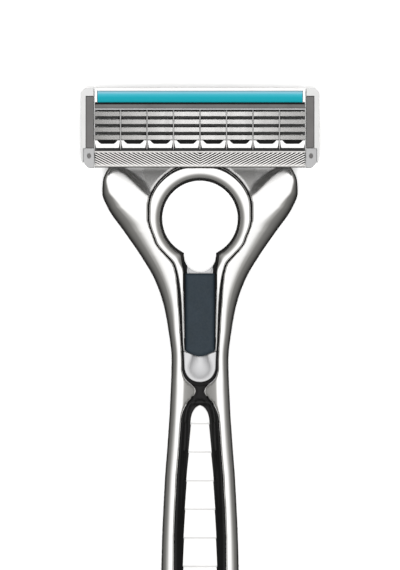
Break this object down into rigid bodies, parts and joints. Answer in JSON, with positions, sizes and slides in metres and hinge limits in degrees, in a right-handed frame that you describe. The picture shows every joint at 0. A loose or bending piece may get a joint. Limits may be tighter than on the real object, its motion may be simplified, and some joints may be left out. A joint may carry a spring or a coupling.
{
  "type": "cartridge razor",
  "caption": "Wet-shaving razor: wide pivoting blade cartridge on a chrome handle with a keyhole-shaped head opening, slide button and stepped grip insert.",
  "frame": {"origin": "middle of the underside of the bounding box; the razor lies on its back, blades up", "axes": "+Y along the handle towards the cartridge, +Z out of the blade face, +X to the right seen from the blade side"},
  "size_m": [0.042, 0.14, 0.021],
  "materials": {
    "chrome": "polished",
    "steel": "satin",
    "navy": "matt",
    "pale_plastic": "semi-gloss",
    "white_plastic": "satin",
    "black_plastic": "gloss",
    "dark_rubber": "matt",
    "teal_strip": "satin",
    "grey_plastic": "satin",
    "fin_rubber": "matt"
  },
  "bodies": {
    "handle": {"handle_frame": "chrome", "keyhole_bezel": "chrome", "head_back_cover": "grey_plastic", "thumb_bowl": "pale_plastic", "grip_core": "black_plastic", "grip_insert": "white_plastic", "grip_back_pad": "dark_rubber", "butt_cap": "chrome", "button_spring": "steel", "plunger_spring": "steel"},
    "button": {"release_button": "navy", "ejector_slider": "pale_plastic"},
    "plunger": {"return_plunger": "pale_plastic"},
    "connector": {"connector_yoke": "grey_plastic", "pivot_pin_left": "steel", "pivot_pin_right": "steel"},
    "cartridge": {"cartridge_housing": "black_plastic", "strip_tray": "pale_plastic", "lubricating_strip": "teal_strip", "cap_bar": "grey_plastic", "guard_bar": "white_plastic", "fin_guard": "fin_rubber", "blade_1": "steel", "blade_support_1": "steel", "blade_2": "steel", "blade_support_2": "steel", "blade_3": "steel", "blade_support_3": "steel", "blade_4": "steel", "blade_support_4": "steel", "wire_wrap_1": "steel", "wire_wrap_2": "steel", "wire_wrap_3": "steel", "wire_wrap_4": "steel", "wire_wrap_5": "steel", "wire_wrap_6": "steel", "wire_wrap_7": "steel", "end_cap_left": "white_plastic", "side_clip_left": "grey_plastic", "corner_pad_left": "pale_plastic", "end_cap_right": "white_plastic", "side_clip_right": "grey_plastic", "corner_pad_right": "pale_plastic"}
  },
  "joints": [
    {"name": "release_button", "type": "slide", "parent": "handle", "child": "button", "axis": [0, 1, 0], "range_m": [0, 0.003], "stiffness_N_per_m": 150, "springref_m": -0.001, "deforming": ["button_spring"]},
    {"name": "cartridge_release", "type": "slide", "parent": "handle", "child": "connector", "axis": [0, 1, 0], "range_m": [0, 0.012]},
    {"name": "cartridge_pivot", "type": "hinge", "parent": "connector", "child": "cartridge", "pos_m": [0, 0.0617, 0.012], "axis": [-1, 0, 0], "range_deg": [0, 40], "stiffness_Nm_per_rad": 0.01, "springref_deg": -17.19},
    {"name": "plunger_slide", "type": "slide", "parent": "handle", "child": "plunger", "axis": [0, 1, 0], "range_m": [-0.002, 0], "deforming": ["plunger_spring"]}
  ],
  "couplings": [
    {"joint": "plunger_slide", "follows": "cartridge_pivot", "m_per_rad": -0.0026}
  ]
}
